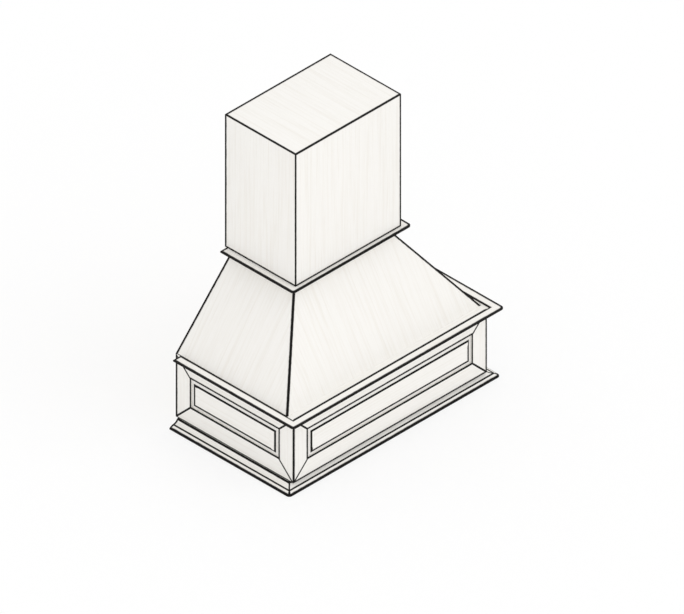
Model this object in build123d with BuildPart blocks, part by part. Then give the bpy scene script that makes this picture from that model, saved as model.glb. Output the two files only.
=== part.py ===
from build123d import *
from math import hypot, radians, tan
import os

# Wooden range hood cover for a 36 in range, hung on the wall.
# A framed apron with raised panels carries a tapered body, and a box chimney stands on the
# taper's collar. Mitred mouldings run round the foot of the apron, its top and the neck.
# Everything is in millimetres: +X to the right, +Y towards the wall, +Z up, with the origin
# under the middle of the bounding box. Every storey has a front and two sides, and an open back.

os.makedirs("parts", exist_ok=True)

# ---------------------------------------------------------------- driving dimensions
apron_width = 838.0          # over the faces of the two side frames
apron_depth = 507.0          # front face to wall
apron_height = 235.0         # frames, without the moulding under them
slope_rise = 314.5           # top of the apron to the foot of the chimney
chimney_width = 457.0
chimney_depth = 305.0
chimney_height = 493.0
chimney_standoff = 22.0      # the chimney's open back to the wall, taken up by its hanging rail

frame_wall = 19.0            # thickness of rails and stiles
member_width = 64.0          # face width of rails and stiles
groove_front = 6.5           # face of a member to the near side of its panel groove
groove_width = 6.0
groove_depth = 9.0
panel_play = 0.2             # all round the tongue, so that the panel can move
panel_float = 1.5            # tongue edge to groove bottom
bevel_width = 15.5           # frame edge to the raised field
field_step = 1.2             # little step where the bevel meets the field

key_length = 30.0            # loose keys across the face mitres
key_width = 16.0
key_thickness = 5.0
key_centre = 34.0            # from the outer corner along each edge
spline_width = 12.0          # splines in the upright corner mitres
spline_thickness = 4.0
spline_centre = 11.3         # from the outer corner along each face
spline_stop = 30.0           # bare ends of the mitre above and below the spline
key_play = 0.15              # round keys and splines

trim_projection = 38.0       # upper trim beyond the apron, and base trim at the sides
trim_lip_rise = 6.5          # upper trim above the deck
trim_lip_bevel = 5.7
trim_edge = 5.0              # square edge of the upper and neck trims
trim_drop = 27.5             # upper trim below the deck level
trim_scribe = 26.5           # upper trim's returns stop short of the wall
base_height = 24.0           # base trim, all under the apron
base_front_setback = 17.0    # base trim's front run lies this much further in than its sides
base_nose = 4.0              # upright outer edge of the base trim
base_scribe = 11.0
base_flat = 4.5              # flat top of the base trim that shows beside the apron
base_bead = 15.0             # width of the rounded nose, up to its crease with the cove
base_bead_rise = 12.0        # height of that crease
corner_round = 12.0          # outer plan corners of all three trims
round_relief = 0.05          # the rounding crosses the flat faces instead of grazing them
soffit = 4.0                 # flat under the square edge of the upper and neck trims
quirk = 3.0                  # short upright between that soffit and the cove
upper_foot = 9.0             # thickness of the upper trim under its cove
upper_foot_rise = 6.5
neck_foot = 5.5              # foot of the neck trim's cove, inside the chimney's face
nose_bulge = 1.2             # how far each curve bows from its chord
base_cove_bulge = 3.0
cove_bulge = 6.0

deck_thickness = 18.0
deck_ledge = 26.5            # bare deck in front of the taper's foot
deck_border_front = 92.0     # width of the deck board round its cut-out
deck_border_side = 92.0
deck_border_back = 62.0
cleat = 22.0                 # square battens under the deck and inside the chimney
post = 40.0                  # square posts in the apron's four corners
rail_thickness = 19.0        # rails across the open back
mounting_rail_height = 90.0
bottom_rail_height = 64.0
ledger_thickness = 20.0      # strips that the liner insert is screwed to
ledger_height = 40.0
ledger_lift = 30.0           # above the apron's lower edge
fit_gap = 0.3                # slip fit of boards let in between others

slope_wall = 15.0            # thickness of the sloped panels
neck_inset_side = 34.0       # taper inside the chimney's faces, at the chimney's foot
neck_inset_front = 37.5
neck_inset_back = 12.0
foot_cleat_width = 30.0
hip_block = 38.0
neck_rail_height = 60.0
neck_rail_thickness = 18.0
collar_thickness = 18.0
collar_hole_width = 330.0    # clears a 203 mm duct with its flange
collar_hole_depth = 208.0
collar_hole_back = 36.0      # collar's back edge to its hole

neck_projection = 28.0       # neck trim beyond the chimney at the sides
neck_front_setback = 10.0    # neck trim's front run lies this much further in than its sides
neck_drop = 36.0
neck_scribe = 8.0            # neck trim's returns stop short of the chimney's back

chimney_wall = 15.0
block = 25.0                 # square blocks in the chimney's front corners
chimney_rail_height = 80.0
hanging_rail_height = 65.0
hanging_rail_inset = 30.0    # from the chimney's top and sides
spacer_rail_height = 50.0

screw_radius = 2.0           # shank of the 4 x 35 countersunk wood screws
screw_length = 35.0
screw_head_radius = 4.0
screw_play = 0.1
screw_head_angle = 82.0
head_recess = 0.6            # screw head below the surface
collar_screw_spread = 120.0
rail_screw_spread = 90.0
wall_hole_radius = 3.5       # for 6 mm wall screws
stud_spacing = 406.4         # 16 in between wall studs
chimney_hole_spacing = 304.8
liner_hole_radius = 2.0
liner_hole_spacing = 254.0   # front to back, one pair in each side ledger
liner_hole_centre = 210.0    # apron's face to the middle of that pair

# ---------------------------------------------------------------- levels and planes
overall_depth = trim_projection + apron_depth
y_wall = overall_depth / 2
y_front = y_wall - apron_depth
x_side = apron_width / 2
z_apron = base_height
z_deck = z_apron + apron_height
z_neck = z_deck + slope_rise
z_top = z_neck + chimney_height
z_under_deck = z_deck - deck_thickness
z_collar = z_neck - collar_thickness

inner_x = x_side - frame_wall
inner_front = y_front + frame_wall
rail_front = y_wall - rail_thickness
post_front = rail_front - post

chimney_x = chimney_width / 2
chimney_back = y_wall - chimney_standoff
chimney_front = chimney_back - chimney_depth
chimney_inner_x = chimney_x - chimney_wall
chimney_inner_front = chimney_front + chimney_wall

foot_front = y_front + deck_ledge
neck_x = chimney_x - neck_inset_side
neck_front = chimney_front + neck_inset_front
neck_back = chimney_back - neck_inset_back
side_run = slope_wall * hypot(1, (x_side - neck_x) / slope_rise)      # level thickness
front_run = slope_wall * hypot(1, (neck_front - foot_front) / slope_rise)

opening_height = apron_height - 2 * member_width
tongue = groove_depth - panel_float


def mitre_planes(corner_x, corner_y):
    """Upright 45 degree planes through a storey's two front corners, with the front on top."""
    return (
        Plane(origin=(-corner_x, corner_y, 0), z_dir=(1, -1, 0)),
        Plane(origin=(corner_x, corner_y, 0), z_dir=(-1, -1, 0)),
    )


# Each apron face has its plane at the lower left corner as seen from outside.
corner_left, corner_right = mitre_planes(x_side, y_front)
faces = {
    "front": (
        Plane(origin=(-x_side, y_front, z_apron), x_dir=(1, 0, 0), z_dir=(0, -1, 0)),
        apron_width,
        [(corner_left, Keep.TOP), (corner_right, Keep.TOP)],
    ),
    "left": (
        Plane(origin=(-x_side, y_wall, z_apron), x_dir=(0, -1, 0), z_dir=(-1, 0, 0)),
        apron_depth,
        [(corner_left, Keep.BOTTOM)],
    ),
    "right": (
        Plane(origin=(x_side, y_front, z_apron), x_dir=(0, 1, 0), z_dir=(1, 0, 0)),
        apron_depth,
        [(corner_right, Keep.BOTTOM)],
    ),
}
spline_spots = [(-1, -45), (1, 45)]

# ---------------------------------------------------------------- where the screws go
# Each spot's +Z axis points out of the wood at the screw's head.
up = (0, 0, 1)
back = (0, 1, 0)


def spots(points, direction):
    return [Plane(origin=point, z_dir=direction).location for point in points]


rail_screws = spots(
    [
        (s * (inner_x - post / 2), y_wall, z)
        for s in (-1, 1)
        for z in (z_under_deck - mounting_rail_height / 2, z_apron + bottom_rail_height / 2)
    ],
    back,
)
base_inner = trim_projection + frame_wall          # width of the base trim's stock
base_front_y = y_front - trim_projection + base_front_setback
collar_screws = spots(
    [(s * collar_screw_spread, neck_back - neck_rail_thickness / 2, z_neck) for s in (-1, 1)],
    up,
)
chimney_cleat_screws = spots(
    [
        (s * (chimney_inner_x - cleat / 2), chimney_front + chimney_depth / 2, z_neck + cleat)
        for s in (-1, 1)
    ],
    up,
)
z_hanging = z_top - hanging_rail_inset - hanging_rail_height / 2
hanging_screws = spots([(s * rail_screw_spread, y_wall, z_hanging) for s in (-1, 1)], back)
z_spacer = z_neck + hanging_rail_inset + spacer_rail_height / 2
spacer_screws = spots([(s * rail_screw_spread, y_wall, z_spacer) for s in (-1, 1)], back)
chimney_wall_holes = spots([(s * chimney_hole_spacing / 2, y_wall, z_hanging) for s in (-1, 1)], back)
mounting_wall_holes = spots(
    [(s * stud_spacing / 2, y_wall, z_under_deck - mounting_rail_height / 2) for s in (-1, 1)],
    back,
)
liner_spots = [
    (s * (inner_x - ledger_thickness / 2), y_front + liner_hole_centre + t * liner_hole_spacing / 2)
    for s in (-1, 1)
    for t in (-1, 1)
]


head_slope = tan(radians(screw_head_angle / 2))
pilot_depth = screw_length + 1.0


def sink(places):
    """Countersunk clearance holes under screw heads, cut into the part being built."""
    with Locations(*places):
        CounterSinkHole(
            radius=screw_radius + screw_play,
            counter_sink_radius=screw_head_radius + screw_play + head_recess * head_slope,
            depth=pilot_depth,
            counter_sink_angle=screw_head_angle,
        )


def pilot(places):
    """Straight holes for the screws' shanks, cut into the part being built."""
    with Locations(*places):
        Hole(radius=screw_radius + screw_play, depth=pilot_depth)


# ---------------------------------------------------------------- apron frames and panels
def member_outlines(length):
    """Face outlines of one frame's four members, mitred from outer to inner corner."""
    w, h = member_width, apron_height
    return {
        "bottom_rail": [(0, 0), (length, 0), (length - w, w), (w, w)],
        "top_rail": [(0, h), (w, h - w), (length - w, h - w), (length, h)],
        "left_stile": [(0, 0), (w, w), (w, h - w), (0, h)],
        "right_stile": [(length, 0), (length, h), (length - w, h - w), (length - w, w)],
    }


def key_places(length):
    """Middle of each corner's key and its turn across the mitre."""
    near, far = key_centre, length - key_centre
    top = apron_height - key_centre
    return [(near, near, -45), (far, near, 45), (near, top, 45), (far, top, -45)]


for face_name, (face, length, corner_cuts) in faces.items():
    opening_length = length - 2 * member_width
    middle = (length / 2, apron_height / 2)
    for member_name, outline in member_outlines(length).items():
        with BuildPart() as member:
            with BuildSketch(face):
                with BuildLine():
                    Polyline(*outline, close=True)
                make_face()
            extrude(amount=-frame_wall)
            # groove for the panel's tongue
            with BuildSketch(face.offset(-groove_front)):
                with Locations(middle):
                    Rectangle(opening_length + 2 * groove_depth, opening_height + 2 * groove_depth)
            extrude(amount=-groove_width, mode=Mode.SUBTRACT)
            # pockets for the keys across the mitres
            with BuildSketch(face.offset(-(frame_wall - key_thickness) / 2 + key_play)):
                for x, y, turn in key_places(length):
                    with Locations((x, y)):
                        Rectangle(key_length + 2 * key_play, key_width + 2 * key_play, turn)
            extrude(amount=-(key_thickness + 2 * key_play), mode=Mode.SUBTRACT)
            # slots for the splines in the upright corner mitres
            with BuildSketch(Plane.XY.offset(z_apron + spline_stop - key_play)):
                for side, turn in spline_spots:
                    with Locations((side * (x_side - spline_centre), y_front + spline_centre)):
                        Rectangle(spline_width + 2 * key_play, spline_thickness + 2 * key_play, turn)
            extrude(amount=apron_height - 2 * (spline_stop - key_play), mode=Mode.SUBTRACT)
            for plane, keep in corner_cuts:
                split(bisect_by=plane, keep=keep)
        name = f"{face_name}_{member_name}"
        member.part.label = name
        export_step(member.part, f"parts/{name}.step")

    tongue_front = groove_front + panel_play
    with BuildPart() as panel:
        with BuildSketch(face.offset(-tongue_front)):
            with Locations(middle):
                Rectangle(opening_length + 2 * tongue, opening_height + 2 * tongue)
        extrude(amount=-(groove_width - 2 * panel_play))
        # bevel from the frame's edge up to the field, then the field's own step
        with BuildSketch(face.offset(-tongue_front)):
            with Locations(middle):
                Rectangle(opening_length - 2 * panel_play, opening_height - 2 * panel_play)
        with BuildSketch(face.offset(-field_step)):
            with Locations(middle):
                Rectangle(opening_length - 2 * bevel_width, opening_height - 2 * bevel_width)
        loft()
        with BuildSketch(face.offset(-field_step)):
            with Locations(middle):
                Rectangle(opening_length - 2 * bevel_width, opening_height - 2 * bevel_width)
        extrude(amount=field_step)
    name = f"{face_name}_panel"
    panel.part.label = name
    export_step(panel.part, f"parts/{name}.step")

with BuildPart() as mitre_keys:
    for face, length, corner_cuts in faces.values():
        with BuildSketch(face.offset(-(frame_wall - key_thickness) / 2)):
            for x, y, turn in key_places(length):
                with Locations((x, y)):
                    Rectangle(key_length, key_width, turn)
        extrude(amount=-key_thickness)
mitre_keys.part.label = "mitre_keys"
export_step(mitre_keys.part, "parts/mitre_keys.step")

with BuildPart() as corner_splines:
    with BuildSketch(Plane.XY.offset(z_apron + spline_stop)):
        for side, turn in spline_spots:
            with Locations((side * (x_side - spline_centre), y_front + spline_centre)):
                Rectangle(spline_width, spline_thickness, turn)
    extrude(amount=apron_height - 2 * spline_stop)
corner_splines.part.label = "corner_splines"
export_step(corner_splines.part, "parts/corner_splines.step")


# ---------------------------------------------------------------- plain sawn pieces
def sawn(low, high, mode=Mode.ADD):
    """A squared piece between two opposite corners, in the part being built."""
    size = [b - a for a, b in zip(low, high)]
    with Locations(low):
        Box(*size, align=(Align.MIN, Align.MIN, Align.MIN), mode=mode)


def side_span(side, outer, width):
    """Low and high x of a piece that lies against an outer x on one side, -1 or 1."""
    return sorted((side * outer, side * (outer - width)))


for side_name, side in (("left", -1), ("right", 1)):
    low_x, high_x = side_span(side, inner_x, post)
    with BuildPart() as corner_post:
        sawn((low_x, inner_front, z_apron), (high_x, inner_front + post, z_under_deck))
    corner_post.part.label = f"corner_post_{side_name}"
    export_step(corner_post.part, f"parts/corner_post_{side_name}.step")

    with BuildPart() as back_post:
        sawn((low_x, post_front, z_apron), (high_x, rail_front, z_under_deck))
        pilot(rail_screws)
    back_post.part.label = f"back_post_{side_name}"
    export_step(back_post.part, f"parts/back_post_{side_name}.step")

    low_x, high_x = side_span(side, inner_x, cleat)
    with BuildPart() as deck_cleat:
        sawn((low_x, inner_front + post, z_under_deck - cleat), (high_x, post_front, z_under_deck))
    deck_cleat.part.label = f"deck_cleat_{side_name}"
    export_step(deck_cleat.part, f"parts/deck_cleat_{side_name}.step")

    low_x, high_x = side_span(side, inner_x, ledger_thickness)
    ledger_bottom = z_apron + ledger_lift
    with BuildPart() as ledger:
        sawn((low_x, inner_front + post, ledger_bottom),
             (high_x, post_front, ledger_bottom + ledger_height))
        with Locations(*[(x, y, ledger_bottom + ledger_height) for x, y in liner_spots]):
            Hole(radius=liner_hole_radius, depth=ledger_height)
    ledger.part.label = f"liner_ledger_{side_name}"
    export_step(ledger.part, f"parts/liner_ledger_{side_name}.step")

post_inner_x = inner_x - post
with BuildPart() as deck_cleat_front:
    sawn((-post_inner_x, inner_front, z_under_deck - cleat),
         (post_inner_x, inner_front + cleat, z_under_deck))
deck_cleat_front.part.label = "deck_cleat_front"
export_step(deck_cleat_front.part, "parts/deck_cleat_front.step")

with BuildPart() as liner_ledger_front:
    sawn((-post_inner_x, inner_front, ledger_bottom),
         (post_inner_x, inner_front + ledger_thickness, ledger_bottom + ledger_height))
liner_ledger_front.part.label = "liner_ledger_front"
export_step(liner_ledger_front.part, "parts/liner_ledger_front.step")

with BuildPart() as liner_ledger_back:
    sawn((-post_inner_x, rail_front - ledger_thickness, ledger_bottom),
         (post_inner_x, rail_front, ledger_bottom + ledger_height))
liner_ledger_back.part.label = "liner_ledger_back"
export_step(liner_ledger_back.part, "parts/liner_ledger_back.step")

with BuildPart() as mounting_rail:
    sawn((-inner_x + fit_gap, rail_front, z_under_deck - mounting_rail_height),
         (inner_x - fit_gap, y_wall, z_under_deck))
    sink(rail_screws)
    with Locations(*mounting_wall_holes):
        Hole(radius=wall_hole_radius, depth=rail_thickness)
mounting_rail.part.label = "mounting_rail"
export_step(mounting_rail.part, "parts/mounting_rail.step")

with BuildPart() as bottom_back_rail:
    sawn((-inner_x + fit_gap, rail_front, z_apron),
         (inner_x - fit_gap, y_wall, z_apron + bottom_rail_height))
    sink(rail_screws)
bottom_back_rail.part.label = "bottom_back_rail"
export_step(bottom_back_rail.part, "parts/bottom_back_rail.step")

with BuildPart() as deck:
    sawn((-inner_x + fit_gap, inner_front + fit_gap, z_under_deck), (inner_x - fit_gap, y_wall, z_deck))
    sawn((-inner_x + deck_border_side, inner_front + deck_border_front, z_under_deck),
         (inner_x - deck_border_side, y_wall - deck_border_back, z_deck), Mode.SUBTRACT)
deck.part.label = "deck"
export_step(deck.part, "parts/deck.step")


# ---------------------------------------------------------------- tapered body
def taper(z):
    """Half width, front and back of the taper's outer faces at one level."""
    share = (z - z_deck) / slope_rise
    half = x_side + share * (neck_x - x_side)
    front_y = foot_front + share * (neck_front - foot_front)
    back_y = y_wall + share * (neck_back - y_wall)
    return half, front_y, back_y


def lofted(outline_at, low, high):
    """Flat-sided solid between one outline's shapes at two levels."""
    foot, head = [[(x, y, z) for x, y in outline_at(z)] for z in (low, high)]
    sides = [[foot[i - 1], foot[i], head[i], head[i - 1]] for i in range(len(foot))]
    with BuildPart() as piece:
        add(Solid(Shell([Face(Wire.make_polygon(loop)) for loop in [foot, head] + sides])))
    return piece.part


def front_outline(z):
    half, front_y, back_y = taper(z)
    inner = half - side_run
    return [(-half, front_y), (half, front_y), (inner, front_y + front_run), (-inner, front_y + front_run)]


def side_outline(side):
    def outline(z):
        half, front_y, back_y = taper(z)
        inner = half - side_run
        return [(side * half, front_y), (side * inner, front_y + front_run),
                (side * inner, back_y), (side * half, back_y)]
    return outline


def body_outline(z):
    half, front_y, back_y = taper(z)
    return [(-half, front_y), (half, front_y), (half, back_y), (-half, back_y)]


def hip_outline(side):
    """Three-sided block in the inner corner between the front slope and a side slope."""
    def outline(z):
        half, front_y, back_y = taper(z)
        corner_x, corner_y = side * (half - side_run), front_y + front_run
        return [(corner_x, corner_y), (corner_x - side * hip_block, corner_y),
                (corner_x, corner_y + hip_block)]
    return outline


def foot_cleat_front_outline(z):
    half, front_y, back_y = taper(z)
    end = taper(z_deck + cleat)[0] - side_run
    inner_front_y = taper(z_deck)[1] + front_run + foot_cleat_width
    return [(-end, front_y + front_run), (end, front_y + front_run),
            (end, inner_front_y), (-end, inner_front_y)]


def foot_cleat_side_outline(side):
    def outline(z):
        half, front_y, back_y = taper(z)
        inner = x_side - side_run - foot_cleat_width
        low_y = taper(z_deck)[1] + front_run + foot_cleat_width
        return [(side * (half - side_run), low_y), (side * inner, low_y),
                (side * inner, rail_front), (side * (half - side_run), rail_front)]
    return outline


# The three slopes are mitred at the hips and cut level at the foot and under the collar.
slope_front = lofted(front_outline, z_deck, z_collar)
slope_front.label = "slope_front"
export_step(slope_front, "parts/slope_front.step")

foot_cleat_front = lofted(foot_cleat_front_outline, z_deck, z_deck + cleat)
foot_cleat_front.label = "foot_cleat_front"
export_step(foot_cleat_front, "parts/foot_cleat_front.step")

for side_name, side in (("left", -1), ("right", 1)):
    slope = lofted(side_outline(side), z_deck, z_collar)
    slope.label = f"slope_{side_name}"
    export_step(slope, f"parts/slope_{side_name}.step")

    hip = lofted(hip_outline(side), z_deck + cleat, z_collar)
    hip.label = f"hip_block_{side_name}"
    export_step(hip, f"parts/hip_block_{side_name}.step")

    foot_cleat = lofted(foot_cleat_side_outline(side), z_deck, z_deck + cleat)
    foot_cleat.label = f"foot_cleat_{side_name}"
    export_step(foot_cleat, f"parts/foot_cleat_{side_name}.step")

# upright board across the back, its ends bevelled to the side slopes
with BuildPart() as neck_back_rail:
    with BuildSketch(Plane.XZ.offset(-neck_back)):
        with BuildLine():
            low_end = taper(z_collar - neck_rail_height)[0] - side_run
            high_end = taper(z_collar)[0] - side_run
            Polyline((-low_end, z_collar - neck_rail_height), (low_end, z_collar - neck_rail_height),
                     (high_end, z_collar), (-high_end, z_collar), close=True)
        make_face()
    extrude(amount=neck_rail_thickness)
    pilot(collar_screws)
neck_back_rail.part.label = "neck_back_rail"
export_step(neck_back_rail.part, "parts/neck_back_rail.step")

collar_front = chimney_front + neck_front_setback
with BuildPart() as collar:
    sawn((-chimney_x, collar_front, z_collar), (chimney_x, chimney_back, z_neck))
    hole_back = chimney_back - collar_hole_back
    sawn((-collar_hole_width / 2, hole_back - collar_hole_depth, z_collar),
         (collar_hole_width / 2, hole_back, z_neck), Mode.SUBTRACT)
    sink(collar_screws)
    pilot(chimney_cleat_screws)
collar.part.label = "collar"
export_step(collar.part, "parts/collar.step")


# ---------------------------------------------------------------- mitred mouldings
# Profiles are drawn with their outer edge at x = 0, x running inwards and y up.
base_crease = (base_bead, base_bead_rise)
base_top = (trim_projection - base_flat, base_height)
with BuildLine() as base_profile:
    Polyline(base_top, (base_inner, base_height), (base_inner, 0), (0, 0), (0, base_nose))
    SagittaArc((0, base_nose), base_crease, nose_bulge)
    SagittaArc(base_crease, base_top, -base_cove_bulge)

edge_bottom = trim_lip_rise - trim_edge
upper_cove_top = (soffit, edge_bottom - quirk)
upper_cove_foot = (trim_projection - upper_foot, upper_foot_rise - trim_drop)
with BuildLine() as upper_profile:
    Polyline((trim_projection, -trim_drop), (trim_projection, 0),
             (trim_projection - trim_lip_bevel, trim_lip_rise), (0, trim_lip_rise),
             (0, edge_bottom), (soffit, edge_bottom), upper_cove_top)
    SagittaArc(upper_cove_top, upper_cove_foot, cove_bulge)
    Polyline(upper_cove_foot, (trim_projection - upper_foot, quirk - trim_drop),
             (trim_projection - soffit, -trim_drop), (trim_projection, -trim_drop))

neck_back_edge = neck_projection + neck_inset_side
neck_cove_top = (soffit, -trim_edge - quirk)
neck_cove_foot = (neck_projection + neck_foot, quirk - neck_drop)
with BuildLine() as neck_profile:
    Polyline((neck_back_edge, -neck_drop), (neck_back_edge, 0), (0, 0), (0, -trim_edge),
             (soffit, -trim_edge), neck_cove_top)
    SagittaArc(neck_cove_top, neck_cove_foot, cove_bulge)
    Polyline(neck_cove_foot, (neck_projection + neck_foot, -neck_drop), (neck_back_edge, -neck_drop))

taper_body = lofted(body_outline, z_deck, z_neck)


def trim_runs(trim_name, profile, outer_x, outer_y, end_y, level):
    """Three mitred runs of one moulding, with the plan corners rounded over."""
    left_cut, right_cut = mitre_planes(outer_x, outer_y)
    depth = end_y - outer_y
    runs = {
        "front": (Plane(origin=(-outer_x, outer_y, level), x_dir=(0, 1, 0), z_dir=(1, 0, 0)),
                  2 * outer_x, [(left_cut, Keep.TOP), (right_cut, Keep.TOP)]),
        "left": (Plane(origin=(-outer_x, end_y, level), x_dir=(1, 0, 0), z_dir=(0, -1, 0)),
                 depth, [(left_cut, Keep.BOTTOM)]),
        "right": (Plane(origin=(outer_x, outer_y, level), x_dir=(-1, 0, 0), z_dir=(0, 1, 0)),
                  depth, [(right_cut, Keep.BOTTOM)]),
    }
    for run_name, (start, length, cuts) in runs.items():
        with BuildPart() as run:
            with BuildSketch(start):
                make_face(profile.edges())
            extrude(amount=length)
            for cut, keep in cuts:
                split(bisect_by=cut, keep=keep)
            with BuildSketch(Plane.XY.offset(level - neck_drop)):
                with Locations((0, (outer_y + end_y) / 2)):
                    Rectangle(2 * (outer_x + round_relief), depth + 2 * round_relief)
                fillet(vertices().group_by(Axis.Y)[0], corner_round)
            extrude(amount=2 * neck_drop, mode=Mode.INTERSECT)
            if trim_name == "neck_trim":
                # its back is bevelled to the slopes and rebated under the collar
                add(taper_body, mode=Mode.SUBTRACT)
                sawn((-chimney_x, collar_front, z_collar), (chimney_x, chimney_back, z_neck),
                     Mode.SUBTRACT)
        name = f"{trim_name}_{run_name}"
        run.part.label = name
        export_step(run.part, f"parts/{name}.step")


trim_runs("base_trim", base_profile, x_side + trim_projection, base_front_y,
          y_wall - base_scribe, 0)
trim_runs("upper_trim", upper_profile, x_side + trim_projection, y_front - trim_projection,
          y_wall - trim_scribe, z_deck)
trim_runs("neck_trim", neck_profile, chimney_x + neck_projection,
          chimney_front + neck_front_setback - neck_projection, chimney_back - neck_scribe, z_neck)

# ---------------------------------------------------------------- box chimney
chimney_left_cut, chimney_right_cut = mitre_planes(chimney_x, chimney_front)
top_front_cut = Plane(origin=(0, chimney_front, z_top), z_dir=(0, -1, -1))
top_left_cut = Plane(origin=(-chimney_x, 0, z_top), z_dir=(-1, 0, -1))
top_right_cut = Plane(origin=(chimney_x, 0, z_top), z_dir=(1, 0, -1))
chimney_panels = {
    "chimney_front": (
        (-chimney_x, chimney_front, z_neck), (chimney_x, chimney_inner_front, z_top),
        [(chimney_left_cut, Keep.TOP), (chimney_right_cut, Keep.TOP), (top_front_cut, Keep.TOP)],
    ),
    "chimney_left": (
        (-chimney_x, chimney_front, z_neck), (-chimney_inner_x, chimney_back, z_top),
        [(chimney_left_cut, Keep.BOTTOM), (top_left_cut, Keep.TOP)],
    ),
    "chimney_right": (
        (chimney_inner_x, chimney_front, z_neck), (chimney_x, chimney_back, z_top),
        [(chimney_right_cut, Keep.BOTTOM), (top_right_cut, Keep.TOP)],
    ),
    "chimney_top": (
        (-chimney_x, chimney_front, z_top - chimney_wall), (chimney_x, chimney_back, z_top),
        [(top_front_cut, Keep.BOTTOM), (top_left_cut, Keep.BOTTOM), (top_right_cut, Keep.BOTTOM)],
    ),
}
for name, (low, high, cuts) in chimney_panels.items():
    with BuildPart() as chimney_panel:
        sawn(low, high)
        for cut, keep in cuts:
            split(bisect_by=cut, keep=keep)
    chimney_panel.part.label = name
    export_step(chimney_panel.part, f"parts/{name}.step")

z_inner_top = z_top - chimney_wall
with BuildPart() as chimney_corner_blocks:
    for side in (-1, 1):
        low_x, high_x = side_span(side, chimney_inner_x, block)
        sawn((low_x, chimney_inner_front, z_neck), (high_x, chimney_inner_front + block, z_inner_top))
chimney_corner_blocks.part.label = "chimney_corner_blocks"
export_step(chimney_corner_blocks.part, "parts/chimney_corner_blocks.step")

with BuildPart() as chimney_base_cleats:
    block_x = chimney_inner_x - block
    sawn((-block_x, chimney_inner_front, z_neck), (block_x, chimney_inner_front + cleat, z_neck + cleat))
    for side in (-1, 1):
        low_x, high_x = side_span(side, chimney_inner_x, cleat)
        sawn((low_x, chimney_inner_front + block, z_neck),
             (high_x, chimney_back - chimney_wall, z_neck + cleat))
    sink(chimney_cleat_screws)
chimney_base_cleats.part.label = "chimney_base_cleats"
export_step(chimney_base_cleats.part, "parts/chimney_base_cleats.step")

chimney_rail_front = chimney_back - chimney_wall
with BuildPart() as chimney_back_rails:
    for bottom in (z_neck, z_inner_top - chimney_rail_height):
        sawn((-chimney_inner_x, chimney_rail_front, bottom),
             (chimney_inner_x, chimney_back, bottom + chimney_rail_height))
    pilot(hanging_screws)
    pilot(spacer_screws)
    with Locations(*chimney_wall_holes):
        Hole(radius=wall_hole_radius, depth=chimney_standoff + chimney_wall)
chimney_back_rails.part.label = "chimney_back_rails"
export_step(chimney_back_rails.part, "parts/chimney_back_rails.step")

with BuildPart() as hanging_rail:
    hanging_x = chimney_x - hanging_rail_inset
    sawn((-hanging_x, chimney_back, z_hanging - hanging_rail_height / 2),
         (hanging_x, y_wall, z_hanging + hanging_rail_height / 2))
    sink(hanging_screws)
    with Locations(*chimney_wall_holes):
        Hole(radius=wall_hole_radius, depth=chimney_standoff)
hanging_rail.part.label = "hanging_rail"
export_step(hanging_rail.part, "parts/hanging_rail.step")

with BuildPart() as spacer_rail:
    sawn((-hanging_x, chimney_back, z_neck + hanging_rail_inset),
         (hanging_x, y_wall, z_neck + hanging_rail_inset + spacer_rail_height))
    sink(spacer_screws)
spacer_rail.part.label = "spacer_rail"
export_step(spacer_rail.part, "parts/spacer_rail.step")

# ---------------------------------------------------------------- screws
with BuildPart() as screw:
    with BuildSketch(Plane.XZ):
        with BuildLine():
            head_depth = (screw_head_radius - screw_radius) / head_slope
            Polyline((0, -head_recess), (screw_head_radius, -head_recess),
                     (screw_radius, -head_recess - head_depth), (screw_radius, -screw_length),
                     (0, -screw_length), close=True)
        make_face()
    revolve(axis=Axis.Z)

all_screws = rail_screws + collar_screws + chimney_cleat_screws + hanging_screws + spacer_screws
with BuildPart() as wood_screws:
    with Locations(*all_screws):
        add(screw.part)
wood_screws.part.label = "wood_screws"
export_step(wood_screws.part, "parts/wood_screws.step")
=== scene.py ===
"""Wall-hung wooden range hood cover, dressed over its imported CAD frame.

Finish: maple pickled white, with a charcoal glaze left along arrises and in creases. Inside,
raw birch plywood on poplar timbers. Sizes are metres in the CAD frame: +X right, +Y wall, +Z up.
"""
import math
from functools import partial

import bpy
import numpy as np
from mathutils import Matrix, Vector


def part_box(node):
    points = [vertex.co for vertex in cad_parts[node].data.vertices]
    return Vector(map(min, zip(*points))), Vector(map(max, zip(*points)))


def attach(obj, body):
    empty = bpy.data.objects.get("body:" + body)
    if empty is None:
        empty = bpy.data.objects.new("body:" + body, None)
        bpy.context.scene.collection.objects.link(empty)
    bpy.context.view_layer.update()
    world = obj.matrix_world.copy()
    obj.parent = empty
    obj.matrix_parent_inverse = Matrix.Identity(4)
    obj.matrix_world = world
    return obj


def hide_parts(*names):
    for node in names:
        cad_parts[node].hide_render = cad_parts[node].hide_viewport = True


bl_info = {
    "name": "Wooden range hood cover",
    "version": (1, 0, 0),
    "blender": (4, 5, 0),
    "location": "View3D > Sidebar > Hood cover",
    "description": "Pickled maple range hood cover: framed apron, taper, mouldings and box chimney",
    "category": "Mesh",
}

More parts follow.
